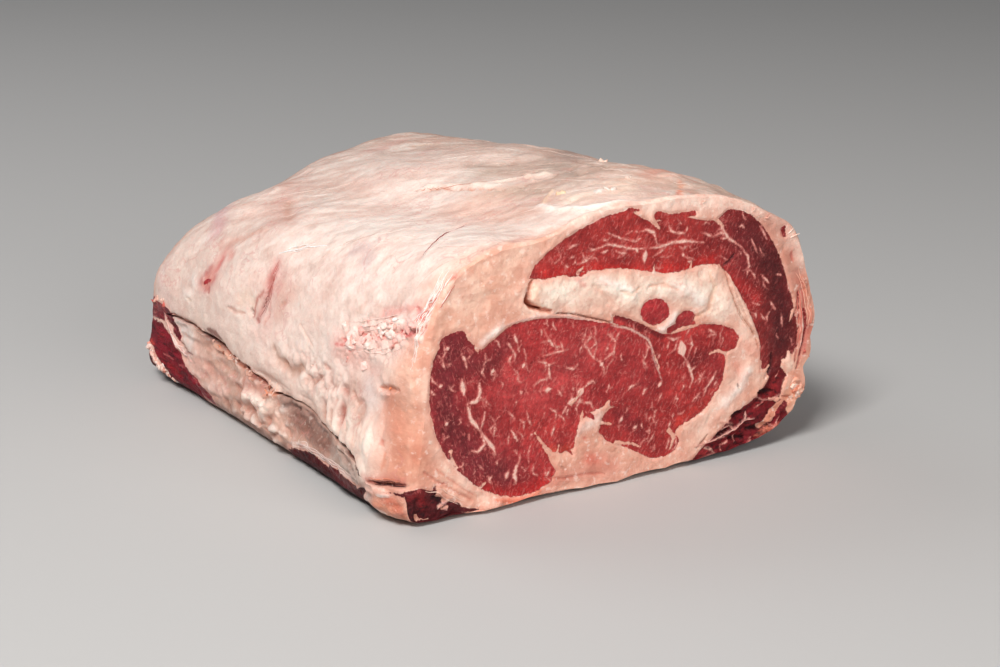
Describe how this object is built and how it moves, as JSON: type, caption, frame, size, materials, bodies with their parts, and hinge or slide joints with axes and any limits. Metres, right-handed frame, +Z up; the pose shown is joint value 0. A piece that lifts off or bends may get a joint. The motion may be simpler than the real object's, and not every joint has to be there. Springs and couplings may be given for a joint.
{
  "type": "raw beef rib roast",
  "caption": "Boneless raw beef rib roast with its fat cap on, cut square across both ends; the muscles run its whole length inside one body of fat.",
  "frame": {"origin": "centre of the roast's underside, on the surface it rests on", "axes": "+Z up; +Y along the muscles, away from the show face, which looks along -Y; -X is the chine side, where the ribs came off"},
  "size_m": [0.2055, 0.232, 0.1178],
  "materials": {
    "fat": "soft satin, slightly moist",
    "lean_meat": "moist satin",
    "cap_meat": "moist satin",
    "dark_meat": "moist satin",
    "bright_meat": "moist satin"
  },
  "bodies": {
    "root": {"fat_body": "fat", "eye_muscle": "lean_meat", "inner_muscle": "lean_meat", "cap_muscle": "cap_meat", "lower_muscle": "dark_meat", "round_muscle_a": "bright_meat", "round_muscle_b": "bright_meat", "rib_meat_near": "dark_meat", "rib_meat_far": "dark_meat"}
  },
  "joints": []
}
